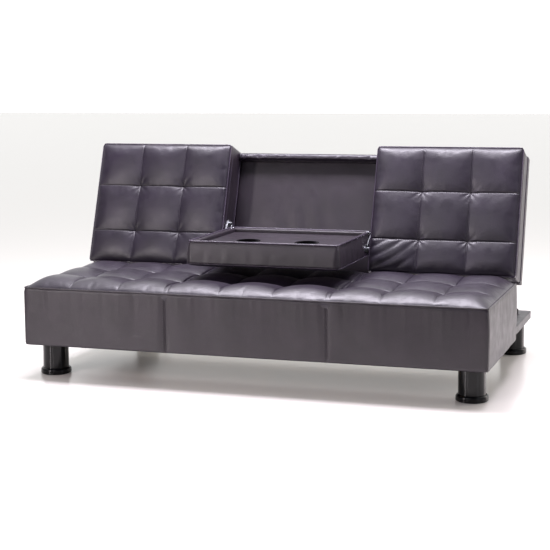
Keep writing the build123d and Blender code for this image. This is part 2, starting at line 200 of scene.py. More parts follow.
def round_block(lines, radius):
    """Points and quads of a box with round edges, from its grid positions along each axis: each
    point is its nearest point of the box shrunk by the radius, plus the radius along the way
    from there to the point."""
    low = np.array([line[0] for line in lines])
    high = np.array([line[-1] for line in lines])
    points, faces, start = [], [], 0
    for axis in range(3):
        first, second = (axis + 1) % 3, (axis + 2) % 3
        u, v = np.meshgrid(lines[first], lines[second], indexing="ij")
        quads = grid_faces(np.arange(u.size).reshape(u.shape))
        for value, outward in ((high[axis], True), (low[axis], False)):
            side = np.empty((u.size, 3))
            side[:, first], side[:, second], side[:, axis] = u.ravel(), v.ravel(), value
            points.append(side)
            faces.append((quads if outward else quads[:, ::-1]) + start)
            start += u.size
    points, faces = np.concatenate(points), np.concatenate(faces)
    _, keep, back = np.unique(np.round(points * 1e3).astype(np.int64), axis=0,
                              return_index=True, return_inverse=True)
    points, faces = points[keep], back.ravel()[faces]
    core = np.clip(points, low + radius, high - radius)
    away = points - core
    return core + radius * away / np.linalg.norm(away, axis=1, keepdims=True), faces


def dome(position, lines, flat=0.0, sag=1.0):
    """0 on each sewn line and 1 midway between two: one minus the square of the way out from
    the middle, to the power 0.8.  Within flat of a line it stays 0, and a sag under 1 moves
    the top of the dome towards the lower line."""
    lines = np.array(lines, float)
    cell = np.clip(np.searchsorted(lines, position) - 1, 0, len(lines) - 2)
    low, high = lines[cell] + flat, lines[cell + 1] - flat
    way = np.clip((position - low) / (high - low), 0, 1) ** sag
    return (1 - (2 * way - 1) ** 2) ** 0.8


def edge_rise(distance, reach):
    """0 at a sewn edge, rising ever more gently to 1 at the reach."""
    way = np.clip(distance / reach, 0, 1)
    return (1 - (1 - way) ** 2) ** 0.75


def tufted(a, b, columns, rows, panel, wide=72):
    """0 at each crossing of inner lines and 1 on top of a panel: 60 parts in a hundred of the
    panel's dome, and the rest one minus a wide bell round each crossing, so that the cover
    rises along a line between two crossings."""
    slope = np.zeros(np.shape(a))
    for column in columns:
        for row in rows:
            slope = np.maximum(slope, np.exp(-(np.hypot(a - column, b - row) / wide) ** 1.5))
    return 0.6 * panel + 0.4 * (1 - slope)


def pinches(a, b, columns, rows, deep, wide):
    """How far the cover is drawn in round each crossing of inner lines: a bell of the width,
    whose depth ripples round it in eight small folds."""
    total = np.zeros(np.shape(a))
    for column in columns:
        for row in rows:
            away = np.hypot(a - column, b - row)
            turn = np.arctan2(b - row, a - column)
            folds = 1 + 0.45 * np.cos(8 * turn + column) * np.clip(away / wide, 0, 1)
            total += deep * np.exp(-(away / wide) ** 1.5) * folds
    return total


def upper(height, top, reach):
    """1 on the sewn face, falling smoothly to 0 a reach below it."""
    way = np.clip((height - (top - reach)) / reach, 0, 1)
    return way * way * (3 - 2 * way)


def inflate(piece, held, pressure, cap, slack, frames=14):
    """Swell a cover by cloth simulation, held where it is sewn, and keep the result, scaled so
    that the furthest point moves by the cap.  Slack lets the cloth crease."""
    scene = bpy.context.scene
    sewn = piece.vertex_groups.new(name="sewn")
    for level in np.unique(np.round(held, 1)):
        if level > 0:
            sewn.add(np.flatnonzero(np.round(held, 1) == level).tolist(), float(level), "REPLACE")
    cloth = piece.modifiers.new("cover", "CLOTH")
    settings = cloth.settings
    settings.quality = 4
    settings.mass = 0.35
    settings.tension_stiffness = settings.compression_stiffness = 12
    settings.shear_stiffness = 6
    settings.bending_stiffness = 1.2
    settings.use_pressure = True
    settings.uniform_pressure_force = pressure
    settings.shrink_min = -slack
    settings.vertex_group_mass = "sewn"
    settings.pin_stiffness = 1.0
    settings.effector_weights.gravity = 0
    cloth.collision_settings.use_collision = False
    cloth.point_cache.frame_start = 1
    cloth.point_cache.frame_end = frames
    before = coordinates(piece.data)
    for moment in range(1, frames + 1):
        scene.frame_set(moment)
    graph = bpy.context.evaluated_depsgraph_get()
    after = coordinates(piece.evaluated_get(graph).data)
    move = after - before
    move *= min(1, cap / np.linalg.norm(move, axis=1).max())
    piece.modifiers.remove(cloth)
    piece.vertex_groups.clear()
    scene.frame_set(1)
    set_coordinates(piece.data, before + move)


def subdivide_once(piece):
    """Replace the mesh by one level of its subdivision surface."""
    smooth = piece.modifiers.new("smooth", "SUBSURF")
    smooth.levels = smooth.render_levels = 1
    graph = bpy.context.evaluated_depsgraph_get()
    finer = bpy.data.meshes.new_from_object(piece.evaluated_get(graph))
    piece.modifiers.remove(smooth)
    piece.data = finer


class Sewn:
    """A sewn block in its own axes, in millimetres: a and b lie in the sewn face, h points
    out of it.  place turns a point of those axes into the sofa's frame, in metres."""

    def __init__(self, low, high, columns, rows, axes, origin):
        self.low, self.high = np.array(low, float), np.array(high, float)
        self.columns, self.rows = columns, rows
        self.axes, self.origin = np.array(axes, float), np.array(origin, float)

    def place(self, points):
        """Local points in millimetres to the sofa's frame in metres."""
        return (points @ self.axes + self.origin) * MM

    def local(self, points):
        """The sofa's frame in metres to local points in millimetres."""
        return (points / MM - self.origin) @ self.axes.T


def sewn_block(name, sewn, surface, grooves, radius, step, cap, pressure, seam_fade):
    """A cushion: a block with edges of the radius, on a grid of the step, whose sewn face follows
    the surface, then inflated, then sewn down in grooves, each (axis, position, depth).  A
    groove's section is a bell 2.6 mm wide, and it fades out over the seam_fade beside the
    block's edges."""
    lines = [graded(sewn.low[0], sewn.high[0], step, sewn.columns[1:-1]),
             graded(sewn.low[1], sewn.high[1], step, sewn.rows[1:-1]),
             graded(sewn.low[2], sewn.high[2], step, [])]
    points, faces = round_block(lines, radius)
    top = sewn.high[2]
    face = upper(points[:, 2], top, radius + 2)
    points[:, 2] += (surface(points[:, 0], points[:, 1]) - top) * face
    on_line = np.minimum(line_distance(points[:, 0], sewn.columns[1:-1]),
                         line_distance(points[:, 1], sewn.rows[1:-1]))
    held = np.clip(1.1 - on_line / 9, 0, 1) * face
    held = np.maximum(held, np.clip((top + 2 - points[:, 2]) / 4, 0, 1))
    piece = mesh_piece(name, sewn.place(points), faces)
    inflate(piece, held, pressure, cap * MM, 0.012)
    subdivide_once(piece)
    points = sewn.local(coordinates(piece.data))
    face = upper(points[:, 2], top, radius)
    for axis, position, depth in grooves:
        other = 1 - axis
        out = np.minimum(points[:, other] - sewn.low[other], sewn.high[other] - points[:, other])
        fade = np.clip(out / seam_fade, 0, 1)
        points[:, 2] -= face * fade * depth * np.exp(-((points[:, axis] - position) / 2.6) ** 2)
    set_coordinates(piece.data, sewn.place(points))
    return piece


def cast_on(piece, starts, direction):
    """The points where rays from the starts first meet the piece."""
    mesh = piece.data
    tree = BVHTree.FromPolygons([v.co for v in mesh.vertices], [p.vertices for p in mesh.polygons])
    hits = [tree.ray_cast(Vector(start), Vector(direction))[0] for start in starts]
    return np.array([hit for hit in hits if hit is not None])


# ---------------------------------------------------------------- thread and welts
# Seams are lockstitched with thick black polyester thread, about 3 stitches per 25 mm.
# Edges carry a welt: a cord wrapped in a strip of leatherette and sewn into the seam.

def evenly(points, spacing, closed=False):
    """Points the same way along a polyline, the spacing apart."""
    points = np.asarray(points, float)
    if closed:
        points = np.vstack([points, points[:1]])
    lengths = np.concatenate([[0], np.cumsum(np.linalg.norm(np.diff(points, axis=0), axis=1))])
    count = max(2, int(round(lengths[-1] / spacing)) + 1)
    at = np.linspace(0, lengths[-1], count)
    even = np.stack([np.interp(at, lengths, points[:, i]) for i in range(3)], -1)
    return even[:-1] if closed else even


def tube(points, radius, sides=10, closed=False):
    """Points and quads of a tube: a circle of the radius carried along the path, turned with
    it, with its ends drawn in to a point.  The radius may be an array, one for each point."""
    points = np.asarray(points, float)
    ahead = np.roll(points, -1, 0) - np.roll(points, 1, 0)
    if not closed:
        ahead[0], ahead[-1] = points[1] - points[0], points[-1] - points[-2]
    ahead /= np.linalg.norm(ahead, axis=1, keepdims=True)
    up = np.tile(np.array([0.0, 0.0, 1.0]), (len(points), 1))
    flat = np.abs(ahead[:, 2]) > 0.9
    up[flat] = (0.0, 1.0, 0.0)
    across = np.cross(ahead, up)
    across /= np.linalg.norm(across, axis=1, keepdims=True)
    rise = np.cross(across, ahead)
    turn = np.linspace(0, 2 * math.pi, sides, endpoint=False)
    radii = radius * np.ones(len(points))
    if not closed:
        radii[[0, -1]] *= 0.05
    ring = (across[:, None, :] * np.cos(turn)[None, :, None]
            + rise[:, None, :] * np.sin(turn)[None, :, None]) * radii[:, None, None]
    grid = np.arange(len(points) * sides).reshape(len(points), sides)
    wrapped = np.hstack([grid, grid[:, :1]])
    if closed:
        wrapped = np.vstack([wrapped, wrapped[:1]])
    faces = grid_faces(wrapped.T).tolist()
    if not closed:
        faces.append(grid[0, ::-1].tolist())
        faces.append(grid[-1].tolist())
    return (points[:, None, :] + ring).reshape(-1, 3), faces


def join_parts(parts):
    """Several (points, faces) lists as one."""
    points, faces, start = [], [], 0
    for part_points, part_faces in parts:
        points.append(part_points)
        faces.extend([[i + start for i in face] for face in part_faces])
        start += len(part_points)
    return np.concatenate(points), faces


def stitches(route, length=6.5, gap=2.5, radius=0.55):
    """Separate stitches along a route on the cover, in metres: each a short tapered rod that
    dips into the cover at both ends."""
    spots = evenly(route, (length + gap) * MM)
    ahead = np.diff(spots, axis=0)
    span = np.linalg.norm(ahead, axis=1, keepdims=True)
    ahead = ahead / span
    middle = (spots[1:] + spots[:-1]) / 2
    parts = []
    for centre, way in zip(middle, ahead):
        half = way * length * MM / 2
        parts.append(tube([centre - half, centre - half * 0.5, centre + half * 0.5, centre + half],
                          radius * MM, 6))
    return parts


def thread(name, twist_mm):
    """Bonded polyester thread: two plies twisted, so the shine runs in slanting bars."""
    material, tree = new_material(name)
    coords = add_node(tree, "TexCoord")
    plies = add_node(tree, "TexWave", {"Scale": 1000 / twist_mm / 6.28, "Distortion": 0.4},
                     [("Vector", coords, "Object")])
    colour = add_node(tree, "ValToRGB", {"stops": [(0.2, "#1d191d"), (0.8, "#453e45")]},
                      [("Fac", plies, "Fac")])
    bump = add_node(tree, "Bump", {"Strength": 0.3, "Distance": 0.0002},
                    [("Height", plies, "Fac")])
    return finished(material, {"Roughness": 0.5, "IOR": 1.55},
                    [("Base Color", colour, "Color"), ("Normal", bump, "Normal")])


seam_thread = thread("bonded_polyester_thread", 1.2)


# ---------------------------------------------------------------- seat cover
# One sewn cover over three foam blocks: eight panels across and three deep, with a double
# topstitched seam where the sections meet.  Its front row rolls down to the welt.

seat_low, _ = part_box("seat_cushion_left")
_, seat_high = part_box("seat_cushion_right")
apron_low, apron_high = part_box("front_apron")
seat_x = seat_high[0] / MM
front_y = seat_low[1] / MM
seat_end_y = seat_high[1] / MM
seat_z = seat_high[2] / MM
welt_z = apron_high[2] / MM + 3
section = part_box("seat_cushion_middle")[1][0] / MM
seat_columns = [-seat_x, -705, -509, -section, -105, 105, section, 509, 705, seat_x]
seat_rows = [front_y, front_y + 200, front_y + 400, seat_end_y]
seat_rise = seat_z - welt_z


def seat_surface(a, b):
    """The seat's top: it rises from the welt over the outer 90 mm, with panels that stand up to
    21 mm above the crossings of the sewn lines.  Close to the front and the rear the lines
    across fade away, so that each end row rolls over as one, and the rear sinks 4 mm where the
    back presses on it.  The section seams lie in flat valleys 16 mm wide."""
    to_side, to_front, to_rear = seat_x - np.abs(a), b - front_y, seat_end_y - b
    rise = edge_rise(to_side, 90) * edge_rise(to_front, 100) * (0.6 + 0.4 * edge_rise(to_rear, 60))
    near_section = np.abs(np.abs(a) - section) < 60
    across = np.where(near_section, dome(a, seat_columns, 8), dome(a, seat_columns))
    loose = np.exp(-(np.clip(to_front, 0, None) / 62) ** 2)
    loose = np.maximum(loose, np.exp(-(np.clip(to_rear, 0, None) / 45) ** 2))
    across = across + (1 - across) * loose * 0.85
    tufts = tufted(a, b, seat_columns[1:-1], seat_rows[1:-1], across * dome(b, seat_rows))
    border = edge_rise(to_side, 80) * edge_rise(to_front, 80) * edge_rise(to_rear + 20, 80)
    drawn = pinches(a, b, seat_columns[1:-1], seat_rows[1:-1], 4.5, 20)
    drift = 1.1 * np.sin(a / 47 + 0.7 * np.sin(b / 60)) * np.exp(-(to_front / 45) ** 2)
    drift = drift - 4 * np.exp(-(np.clip(to_rear, 0, None) / 38) ** 2)
    crown = (seat_rise - 9) * rise + 21 * tufts * border
    return welt_z + crown - drawn + drift * edge_rise(to_front, 30)


seat_sewn = Sewn((-seat_x, front_y, welt_z - 26), (seat_x, seat_end_y, welt_z),
                 seat_columns, seat_rows, np.eye(3), (0, 0, 0))
seat_grooves = [(0, x, 2.6) for x in seat_columns[1:-1] if abs(x) != section]
seat_grooves += [(0, x + shift, 4.5) for x in (-section, section) for shift in (-8, 8)]
seat_grooves += [(1, y, 2.6) for y in seat_rows[1:-1]]
seat_cover = sewn_block("seat_cover", seat_sewn, seat_surface, seat_grooves, radius=6, step=8,
                        cap=3, pressure=4, seam_fade=70)
finish_piece(seat_cover, "seat", "covered_foam", soft_leather,
             "seat_cushion_left", "seat_cushion_middle", "seat_cushion_right")

ray_step = 4        # how far apart the rays are that lay thread on a cover, in millimetres
above_seat = 600
section_y = np.arange(front_y + 12, seat_end_y - 52, ray_step)
seat_thread = []
for seam_x in (-section, section):
    for offset in (-12, 12):
        starts = [((seam_x + offset) * MM, y * MM, above_seat * MM) for y in section_y]
        seat_thread += stitches(cast_on(seat_cover, starts, (0, 0, -1)))
for seam_y in seat_rows[1:-1]:
    starts = [(x * MM, (seam_y - 4.5) * MM, above_seat * MM)
              for x in np.arange(-seat_x + 20, seat_x - 20, ray_step)]
    seat_thread += stitches(cast_on(seat_cover, starts, (0, 0, -1)))
finish_piece(mesh_piece("seat_topstitching", *join_parts(seat_thread)), "seat", "leatherette",
             seam_thread)


# ---------------------------------------------------------------- seat rear lining
# The back of the seat box is closed with black non-woven cloth, stapled along its edges.

def cloth_black(name, fibre_mm):
    """Spun-bonded cloth: pressed fibres in a fine dimpled pattern, matt black."""
    material, tree = new_material(name)
    coords = add_node(tree, "TexCoord")
    dimples = add_node(tree, "TexVoronoi", {"Scale": 1000 / fibre_mm, "Randomness": 0.3},
                       [("Vector", coords, "Object")])
    colour = add_node(tree, "ValToRGB", {"stops": [(0.1, "#0f0f10"), (0.6, "#1e1e20")]},
                      [("Fac", dimples, "Distance")])
    bump = add_node(tree, "Bump", {"Strength": 0.4, "Distance": 0.0003},
                    [("Height", dimples, "Distance")])
    return finished(material, {"Roughness": 0.9, "Sheen Weight": 0.2},
                    [("Base Color", colour, "Color"), ("Normal", bump, "Normal")])


def lining_surface():
    """The cloth: a sheet over the back of the box, tugged in by up to 1.5 mm at staples 75 mm
    apart along its two long edges, and waving by 1.5 mm midway between them."""
    low_z, high_z = 168, 322
    a, b = np.meshgrid(np.linspace(-838, 838, 240), np.linspace(low_z, high_z, 24), indexing="ij")
    way = (b - low_z) / (high_z - low_z)
    tug = 1.5 * np.sin(a * np.pi / 75) ** 2 * (np.exp(-way * 9) + np.exp(-(1 - way) * 9))
    depth = seat_end_y + 1.5 + tug + 1.5 * np.sin(np.pi * way) * np.sin(a / 90 + way)
    return (np.stack([a, depth, b], -1).reshape(-1, 3) * MM,
            grid_faces(np.arange(a.size).reshape(a.shape).T))


def thicken(piece, thickness, offset=-1):
    """Give a sheet its thickness in millimetres, behind its faces or, with offset 1, before them."""
    wall = piece.modifiers.new("thickness", "SOLIDIFY")
    wall.thickness = thickness * MM
    wall.offset = offset


seat_lining = mesh_piece("seat_rear_lining", *lining_surface())
thicken(seat_lining, 0.8)
finish_piece(seat_lining, "seat", "felt", cloth_black("spun_bonded_cloth", 2.2))


# ---------------------------------------------------------------- seat band
# The plain band round the seat box: leatherette pulled over the front apron and the two end
# panels, tacked under their bottom edges.  It is seamed in line with the seat's sections.

band_bottom = apron_low[2] / MM
band_seams = (-section, section)


def band_path(corner, step):
    """The plan of the band: up one end, round a corner of the radius, along the front, and
    back down the other end; each point with its outward direction."""
    reach = seat_x - corner
    side_y = np.arange(seat_end_y, front_y + corner, -step)
    turn = np.linspace(0, math.pi / 2, 9)[1:-1]
    front_x = graded(-reach, reach, step, band_seams, 2.0, 14.0)
    left = np.stack([np.full(side_y.size, -seat_x), side_y], -1)
    left_out = np.tile((-1.0, 0.0), (side_y.size, 1))
    curve_out = np.stack([-np.cos(turn), -np.sin(turn)], -1)
    curve = np.array([-reach, front_y + corner]) + corner * curve_out
    front = np.stack([front_x, np.full(front_x.size, front_y)], -1)
    front_out = np.tile((0.0, -1.0), (front_x.size, 1))
    half_turn = np.array([-1.0, 1.0])
    plan = np.concatenate([left, curve, front, (curve * half_turn)[::-1], (left * half_turn)[::-1]])
    out = np.concatenate([left_out, curve_out, front_out, (curve_out * half_turn)[::-1],
                          (left_out * half_turn)[::-1]])
    return plan, out


def band_surface():
    """The band: its section, a slab 9 mm thick with rolled edges, carried along the plan.  The
    face swells 2.6 mm at mid height, small gathers run down from the top seam, long slack
    ripples cross it, and it is pulled in along the upright seams."""
    plan, out = band_path(12, 6)
    heights = np.concatenate([[band_bottom + 3, band_bottom, band_bottom + 1.5],
                              np.linspace(band_bottom + 6, welt_z - 6, 34),
                              [welt_z - 2, welt_z + 1, welt_z - 1]])
    inward = np.concatenate([[9, 4.5, 1.2], np.zeros(34), [0.8, 4.5, 9]])
    way = np.concatenate([[0, 0, 0.02], np.linspace(0.05, 0.95, 34), [1, 1, 1]])
    rng = np.random.default_rng(11)
    along = np.concatenate([[0], np.cumsum(np.linalg.norm(np.diff(plan, axis=0), axis=1))])
    swelling = 2.6 * np.sin(np.pi * way) ** 0.7
    gathers = np.zeros((along.size, way.size))
    for wavelength, size in ((27, 0.45), (41, 0.55), (67, 0.5), (140, 0.7), (260, 1.0)):
        drift = 0.25 * np.sin(along / 170 + rng.uniform(0, 6))
        phase = 2 * np.pi * along / wavelength + rng.uniform(0, 6) + 2 * drift
        fall = np.exp(-(1 - way) * (4.5 if wavelength < 100 else 0.9))
        gathers += size * np.sin(phase)[:, None] * fall[None, :] * np.sin(np.pi * way)[None, :] ** 0.3
    slack = 0.8 * np.sin(along / 83 + 1)[:, None] * np.sin(2 * np.pi * way + 0.6)[None, :]
    depth = swelling[None, :] + gathers + slack
    on_front = np.abs(plan[:, 1] - front_y) < 1
    for seam in band_seams:
        apart = np.where(on_front, np.abs(plan[:, 0] - seam), 1e3)
        pull = 4.5 * np.exp(-(apart / 3.0) ** 2) + 3.0 * np.exp(-(apart / 16) ** 2)
        depth -= pull[:, None] * np.sin(np.pi * way)[None, :] ** 0.2
    depth = depth - inward[None, :]
    spots = np.empty((along.size, way.size, 3))
    spots[..., :2] = plan[:, None, :] + out[:, None, :] * depth[..., None]
    spots[..., 2] = heights[None, :]
    grid = np.arange(spots.size // 3).reshape(along.size, way.size)
    faces = grid_faces(np.hstack([grid, grid[:, :1]])).tolist()
    faces += [grid[0].tolist(), grid[-1, ::-1].tolist()]
    return spots.reshape(-1, 3) * MM, faces


seat_band = mesh_piece("seat_band", *band_surface())
finish_piece(seat_band, "seat", "leatherette", flat_leather,
             "front_apron", "seat_side_panel_left", "seat_side_panel_right")

band_thread = []
for seam in band_seams:
    for offset in (-7, 7):
        starts = [((seam + offset) * MM, (front_y - 40) * MM, z * MM)
                  for z in np.arange(band_bottom + 8, welt_z - 6, ray_step)]
        band_thread += stitches(cast_on(seat_band, starts, (0, 1, 0)))
finish_piece(mesh_piece("band_topstitching", *join_parts(band_thread)), "seat", "leatherette",
             seam_thread)

plan, out = band_path(12, 10)
rim = np.column_stack([plan - out * 1.0, np.full(len(plan), welt_z + 1.5)])
seat_welts = [tube(evenly(rim * MM, 0.008), 3.1 * MM)]
for side in (-1, 1):
    corner = [((side * (seat_x - 3.2)) * MM, (front_y + 3.2) * MM, z * MM)
              for z in np.arange(band_bottom + 1, welt_z, 8)]
    seat_welts.append(tube(corner, 3.0 * MM))
finish_piece(mesh_piece("seat_welts", *join_parts(seat_welts)), "seat", "leatherette", flat_leather)


# ---------------------------------------------------------------- back cushions
# Two foam blocks, one each side of the tray, in covers of three by three panels.  The
# cover is a little too large at the foot beside the tray, and hangs in slanting folds.

hinge = next(joint for joint in frame["joints"] if joint["name"] == "back_recline")
lean = math.radians(19)
hinge_drop, hinge_setback = 32, 42        # from the foot of the back's face to the hinge line
face_up = np.array([0, math.sin(lean), math.cos(lean)])
face_out = np.array([0, -math.cos(lean), math.sin(lean)])
face_foot = np.array(hinge["pos_m"]) / MM + hinge_drop * face_up + hinge_setback * face_out
back_axes = np.array([[1.0, 0, 0], face_up, face_out])
back_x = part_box("back_cushion_right")[1][0] / MM
recess_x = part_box("back_cushion_right")[0][0] / MM
back_foot, back_top = 4, 517
back_rows = [back_foot, 137, 332, back_top]
welt_depth, cushion_thick, back_thick = 12, 138, 196


def on_back(points):
    """Points in the back's axes, in millimetres, moved to the sofa's frame, in metres."""
    return (points @ back_axes + face_foot) * MM


def back_surface(columns, inner_x, side, strength):
    """The face of a back cushion: it rises 8 mm from the welt over 26 mm, and its tufted
    panels stand up to 13 mm higher, sagging a little.  At the lower inner corner
    ridges run down towards the corner, strongest midway and dying out at the lines."""
    def surface(a, b):
        outward = (a - columns[0], columns[-1] - a, b - back_foot, back_top - b)
        rim = np.prod([edge_rise(out, 26) for out in outward], axis=0)
        border = np.prod([edge_rise(out, 60) for out in outward], axis=0)
        panel = dome(a, columns) * dome(b, back_rows, sag=0.86)
        tufts = tufted(a, b, columns[1:-1], back_rows[1:-1], panel, 62)
        drawn = pinches(a, b, columns[1:-1], back_rows[1:-1], 8, 23)
        u, v = (a - inner_x) * side, b - back_foot
        along, across = u * 0.84 + v * 0.54, v * 0.84 - u * 0.54
        inside = (np.clip(u / 10, 0, 1) * np.clip((196 - u) / 70, 0, 1)
                  * np.clip(v / 10, 0, 1) * np.clip((131 - v) / 14, 0, 1))
        bend = 18 * np.sin(along / 75)
        ridges = np.abs(np.sin((across + bend + 30) * np.pi / 40)) ** 0.7 - 0.5
        lift = 8 * rim + 13 * tufts * border
        return -welt_depth + lift - drawn + strength * ridges * inside
    return surface


back_covers = []
for word, side, strength in (("left", -1, 1.5), ("right", 1, 6.0)):
    inner_x = side * recess_x
    columns = sorted([inner_x, side * 510, side * 705, side * back_x])
    sewn = Sewn((columns[0], back_foot, -cushion_thick), (columns[-1], back_top, -welt_depth),
                columns, back_rows, back_axes, face_foot)
    grooves = [(0, x, 2.2) for x in columns[1:-1]] + [(1, y, 2.6) for y in back_rows[1:-1]]
    cover = sewn_block(f"back_cover_{word}", sewn, back_surface(columns, inner_x, side, strength),
                       grooves, radius=7, step=8, cap=3, pressure=4, seam_fade=12)
    finish_piece(cover, "backrest", "covered_foam", soft_leather, f"back_cushion_{word}")
    back_covers.append((cover, sewn))

back_thread = []
in_front = 60
for cover, sewn in back_covers:
    across = np.arange(sewn.low[0] + 14, sewn.high[0] - 14, ray_step)
    upward = np.arange(back_foot + 14, back_top - 14, ray_step)
    routes = [[(a, line - 4.5, in_front) for a in across] for line in sewn.rows[1:-1]]
    routes += [[(line - 4.5, b, in_front) for b in upward] for line in sewn.columns[1:-1]]
    for route in routes:
        back_thread += stitches(cast_on(cover, sewn.place(np.array(route)), -face_out))
finish_piece(mesh_piece("back_topstitching", *join_parts(back_thread)), "backrest", "leatherette",
             seam_thread)


def rounded_loop(low, high, radius, depth):
    """A closed rectangle with round corners in the back's axes, at one depth behind its face."""
    corners = ((high[0] - radius, high[1] - radius, 0), (low[0] + radius, high[1] - radius, 90),
               (low[0] + radius, low[1] + radius, 180), (high[0] - radius, low[1] + radius, 270))
    loop = []
    for a, b, start in corners:
        turn = np.radians(start + np.linspace(0, 90, 7))
        loop.append(np.stack([a + radius * np.cos(turn), b + radius * np.sin(turn),
                              np.full(7, -depth)], -1))
    return np.concatenate(loop)


back_welts = []
for cover, sewn in back_covers:
    for depth, radius in ((14, 2.6), (42, 1.5), (cushion_thick - 1, 2.6)):
        loop = rounded_loop(sewn.low, sewn.high, 8, depth)
        back_welts.append(tube(evenly(sewn.place(loop), 0.009, True), radius * MM, closed=True))
# The back's welts take the lightened welt leatherette, a painted highlight.
finish_piece(mesh_piece("back_welts", *join_parts(back_welts)), "backrest", "leatherette", welt_leather_painted_highlight)


# ---------------------------------------------------------------- back shell
# The frame behind the cushions is covered by one sheet of leatherette, boxed round its ends
# and its top and stapled on the inside at the bottom.

def grid_rim(grid):
    """The point numbers along the border of a grid, once round."""
    return np.concatenate([grid[:, 0], grid[-1, 1:], grid[-2::-1, -1], grid[0, -2:0:-1]])


def shell_surface():
    """The shell: a flat panel in the back's axes whose border turns forward through a quarter
    circle and runs to the cushions.  The panel hangs in by 2 mm between its four sides, with
    faint ripples, is pulled in along two upright seams, and bellies out up to 15 mm low down."""
    half, radius = back_x, 12
    a, b = np.meshgrid(np.linspace(-half, half, 241), np.linspace(back_foot, back_top, 81),
                       indexing="ij")
    sag = 2.0 * (1 - (a / half) ** 8) * (1 - ((b - 260) / 257) ** 8)
    ripple = 0.7 + 0.4 * np.sin(a / 61 + 0.8 * np.sin(b / 90)) + 0.3 * np.sin(b / 47 + a / 210)
    for seam in (-recess_x, recess_x):
        sag += 1.2 * np.exp(-((a - seam) / 6) ** 2)
    inset = np.minimum(half - np.abs(a), np.minimum(b - back_foot, back_top - b))
    turn = np.clip(1 - inset / radius, 0, 1)
    drop = radius * (1 - np.sqrt(1 - turn ** 2))
    low_down = np.clip((300 - b) / 200, 0, 1) * np.clip((b - 20) / 60, 0, 1)
    fullness = 15 * low_down * np.clip(inset / 30, 0, 1) ** 0.5
    h = -back_thick + drop - fullness + (sag + ripple) * np.clip(inset / 40, 0, 1)
    panel = np.stack([a, b, h], -1).reshape(-1, 3)
    grid = np.arange(a.size).reshape(a.shape)
    rim = grid_rim(grid)
    depths = np.linspace(back_thick - radius - 6, cushion_thick + 1, 6)
    rings = [np.column_stack([panel[rim, :2], np.full(rim.size, -depth)]) for depth in depths]
    loops = [rim] + [np.arange(rim.size) + a.size + i * rim.size for i in range(len(rings))]
    walls = [np.stack([p, q, np.roll(q, -1), np.roll(p, -1)], -1) for p, q in zip(loops, loops[1:])]
    return on_back(np.concatenate([panel] + rings)), np.concatenate([grid_faces(grid.T)] + walls)


back_shell = mesh_piece("back_shell", *shell_surface())
thicken(back_shell, 2, 1)
finish_piece(back_shell, "backrest", "leatherette", flat_leather, "rear_cover", "backing_panels")


# ---------------------------------------------------------------- recess
# Behind the tray is a plain wrapped wall, and along its top a padded roll.  The roll's cover
# is pinched into a pleat at its left end.

def recess_surface():
    """The wall: a slab whose face swells 5 mm, with slack upright ripples that are strongest a
    little below the middle, and slow level ones."""
    low_b, high_b, face_h, rear_h = 6, 486, -146, -156
    a, b = np.meshgrid(np.linspace(-recess_x, recess_x, 120), np.linspace(low_b, high_b, 90),
                       indexing="ij")
    u, v = a / recess_x, (b - (low_b + high_b) / 2) / ((high_b - low_b) / 2)
    bulge = 5 * (1 - u ** 6) * (1 - v ** 6)
    upright = 1.5 * np.sin((a + 0.35 * b) / 17 + 1.3 * np.sin(a / 71)) * np.exp(-((v + 0.4) / 0.8) ** 2)
    ripple = upright + 0.6 * np.sin(b / 41 - a / 130)
    front = np.stack([a, b, face_h - 4 + bulge + ripple * (1 - u ** 8) * (1 - v ** 8)], -1)
    rear = np.stack([a, b, np.full(a.shape, rear_h)], -1)
    grid = np.arange(a.size).reshape(a.shape)
    quads, rim = grid_faces(grid), grid_rim(grid)
    edge = np.stack([rim, rim + a.size, np.roll(rim, -1) + a.size, np.roll(rim, -1)], -1)
    points = np.concatenate([front.reshape(-1, 3), rear.reshape(-1, 3)])
    return on_back(points), np.concatenate([quads, quads[:, ::-1] + a.size, edge])


recess_wall = mesh_piece("recess_lining", *recess_surface())
finish_piece(recess_wall, "backrest", "leatherette", flat_leather, "recess_wall")

# Each side of the recess is a board about 19 mm thick, wrapped over its inner face.
for word, side in (("left", -1), ("right", 1)):
    inner, outer = side * (recess_x - 1.4), side * (recess_x + 18)
    lines = [graded(min(inner, outer), max(inner, outer), 5, []),
             graded(back_foot, back_top, 9, []), graded(-150, -14, 9, [])]
    points, faces = round_block(lines, 3)
    facing = np.clip(1 - np.abs(points[:, 0] - inner) / 3, 0, 1)
    slack = 1.1 * np.sin(points[:, 1] / 33 + points[:, 2] / 55) + 0.8 * np.sin(points[:, 2] / 17)
    rim = np.minimum(points[:, 1] - back_foot, back_top - points[:, 1]) / 60
    points[:, 0] += side * facing * np.clip(rim, 0, 1) * (0.9 - 0.45 * slack)
    facing_piece = mesh_piece(f"recess_facing_{word}", on_back(points), faces)
    finish_piece(facing_piece, "backrest", "leatherette", flat_leather, f"recess_side_{word}")


roll_foot, roll_top, roll_rear, roll_face = 482, 512, -156, -112


def roll_surface(a, b):
    """The roll's face: it stands 9 mm out, falls steeply at its foot and gently to its top, and
    has a pleat near its left end, two narrow valleys 15 mm apart that lean inwards."""
    ends = edge_rise(recess_x - np.abs(a), 12)
    face = roll_face + 9 * edge_rise(b - roll_foot, 7) * edge_rise(roll_top - b, 24) * ends
    for valley in (12 - recess_x, 27 - recess_x):
        face -= 8 * np.exp(-((a - valley - 0.4 * (b - roll_foot)) / 4.2) ** 2)
    return face


roll_sewn = Sewn((-recess_x, roll_foot, roll_rear), (recess_x, roll_top, roll_face),
                 [-recess_x, recess_x], [roll_foot, roll_top], back_axes, face_foot)
top_roll = sewn_block("recess_roll", roll_sewn, roll_surface, [], radius=8, step=4,
                      cap=3, pressure=3, seam_fade=10)
finish_piece(top_roll, "backrest", "covered_foam", soft_leather, "recess_top_roll")


